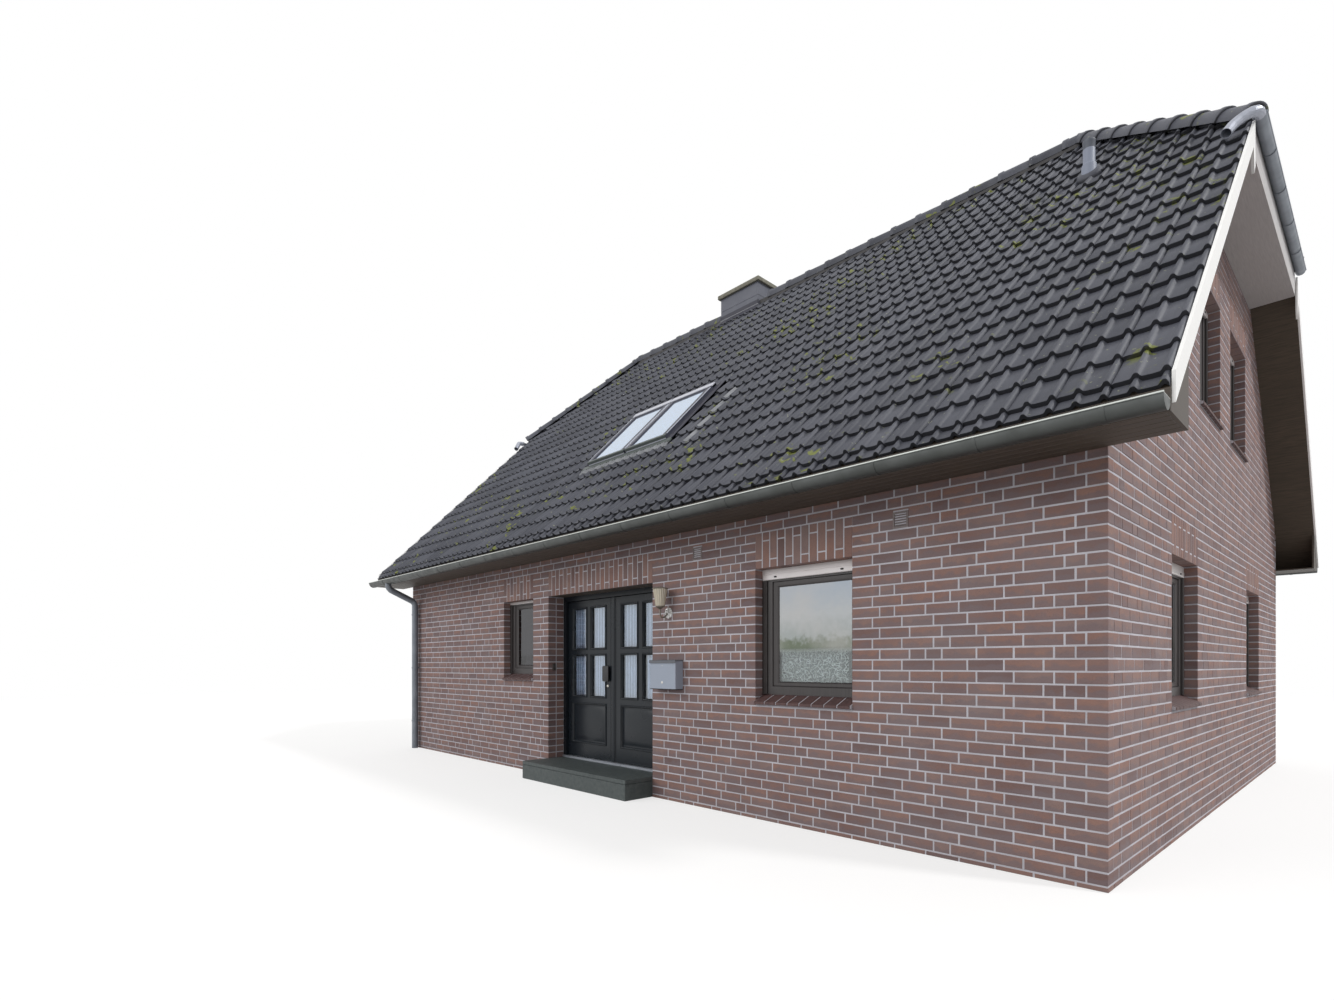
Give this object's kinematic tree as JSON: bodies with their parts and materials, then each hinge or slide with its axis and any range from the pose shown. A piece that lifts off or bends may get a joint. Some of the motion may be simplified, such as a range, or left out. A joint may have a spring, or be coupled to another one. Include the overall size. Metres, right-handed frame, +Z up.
{
  "type": "detached house",
  "caption": "Detached brick house with a half-hipped tiled roof, an attic, boxed eaves, gutters and a double front door whose leaves open inwards.",
  "frame": {"origin": "on the ground, at the middle of the house's outer box", "axes": "+Z up; the entrance front faces -Y; +X runs to the right along the front as seen from outside"},
  "size_m": [11.482, 9.456, 7.895],
  "materials": {
    "brick": "mixed red-brown facing brick in light grey mortar",
    "sill_brick": "dark red sill brick on edge",
    "floor": "plain screed and concrete",
    "roof_timber": "sawn rafters and boarding",
    "roof_tile": "weathered anthracite pantile",
    "dark_wood": "dark brown stained timber",
    "hip_board": "weathered grey-brown board",
    "white_board": "white painted board",
    "zinc": "weathered zinc sheet",
    "chimney_cladding": "blue-grey cladding sheet",
    "chimney_concrete": "weathered concrete",
    "lead": "grey sheet lead",
    "roof_window_metal": "grey coated aluminium",
    "glass": "clear window glass",
    "lamp_glass": "lightly frosted glass",
    "vent_plastic": "grey plastic pipe",
    "door_wood": "blue-black painted timber",
    "threshold_metal": "plain aluminium threshold",
    "net_curtain": "white net curtain",
    "handle_metal": "dark burnished door furniture",
    "step_stone": "dark green-grey stone slab",
    "shutter_plastic": "cream plastic",
    "vent_grille": "brown-grey air brick",
    "lamp_brass": "aged bronze",
    "mailbox_metal": "light grey coated steel",
    "bell_plastic": "dark brown plastic"
  },
  "bodies": {
    "house": {"ground_floor": "floor", "attic_floor": "floor", "front_wall_left": "brick", "front_wall_right": "brick", "front_wall_over_door": "brick", "rear_wall": "brick", "left_gable_wall": "brick", "right_gable_wall": "brick", "front_roof_deck": "roof_timber", "rear_roof_deck": "roof_timber", "hip_roof_decks": "roof_timber", "front_roof_tiles": "roof_tile", "rear_roof_tiles": "roof_tile", "hip_roof_tiles": "roof_tile", "ridge_tiles": "roof_tile", "eave_soffits": "dark_wood", "hip_soffits": "hip_board", "barge_boards": "white_board", "front_gutter": "zinc", "rear_gutter": "zinc", "hip_gutters": "zinc", "hip_spouts": "zinc", "downpipes": "zinc", "chimney_stack": "chimney_cladding", "chimney_cap": "chimney_concrete", "roof_flashings": "lead", "roof_window_frame": "roof_window_metal", "roof_window_glass": "glass", "vent_pipe": "vent_plastic", "door_frame": "door_wood", "door_threshold": "threshold_metal", "window_curtain": "net_curtain", "door_step": "step_stone", "front_window_frames": "dark_wood", "gable_window_frames": "dark_wood", "rear_window_frames": "dark_wood", "window_glass": "glass", "window_sills": "sill_brick", "shutter_boxes": "shutter_plastic", "wall_vents": "vent_grille", "wall_lamp": "lamp_brass", "lamp_glass": "lamp_glass", "mailbox": "mailbox_metal", "doorbell": "bell_plastic"},
    "door_left": {"door_leaf_left": "door_wood", "door_glass_left": "glass", "door_curtain_left": "net_curtain", "door_handle": "handle_metal"},
    "door_right": {"door_leaf_right": "door_wood", "door_glass_right": "glass", "door_curtain_right": "net_curtain"},
    "mailbox_flap": {"mailbox_lid": "mailbox_metal"}
  },
  "joints": [
    {"name": "door_left_hinge", "type": "hinge", "parent": "house", "child": "door_left", "pos_m": [-0.935, -3.777, 1.2], "axis": [0, 0, 1], "range_deg": [0, 95]},
    {"name": "door_right_hinge", "type": "hinge", "parent": "house", "child": "door_right", "pos_m": [0.955, -3.777, 1.2], "axis": [0, 0, -1], "range_deg": [0, 95]},
    {"name": "mailbox_flap_hinge", "type": "hinge", "parent": "house", "child": "mailbox_flap", "pos_m": [1.2895, -4.131, 1.459], "axis": [-1, 0, 0], "range_deg": [0, 80]}
  ]
}
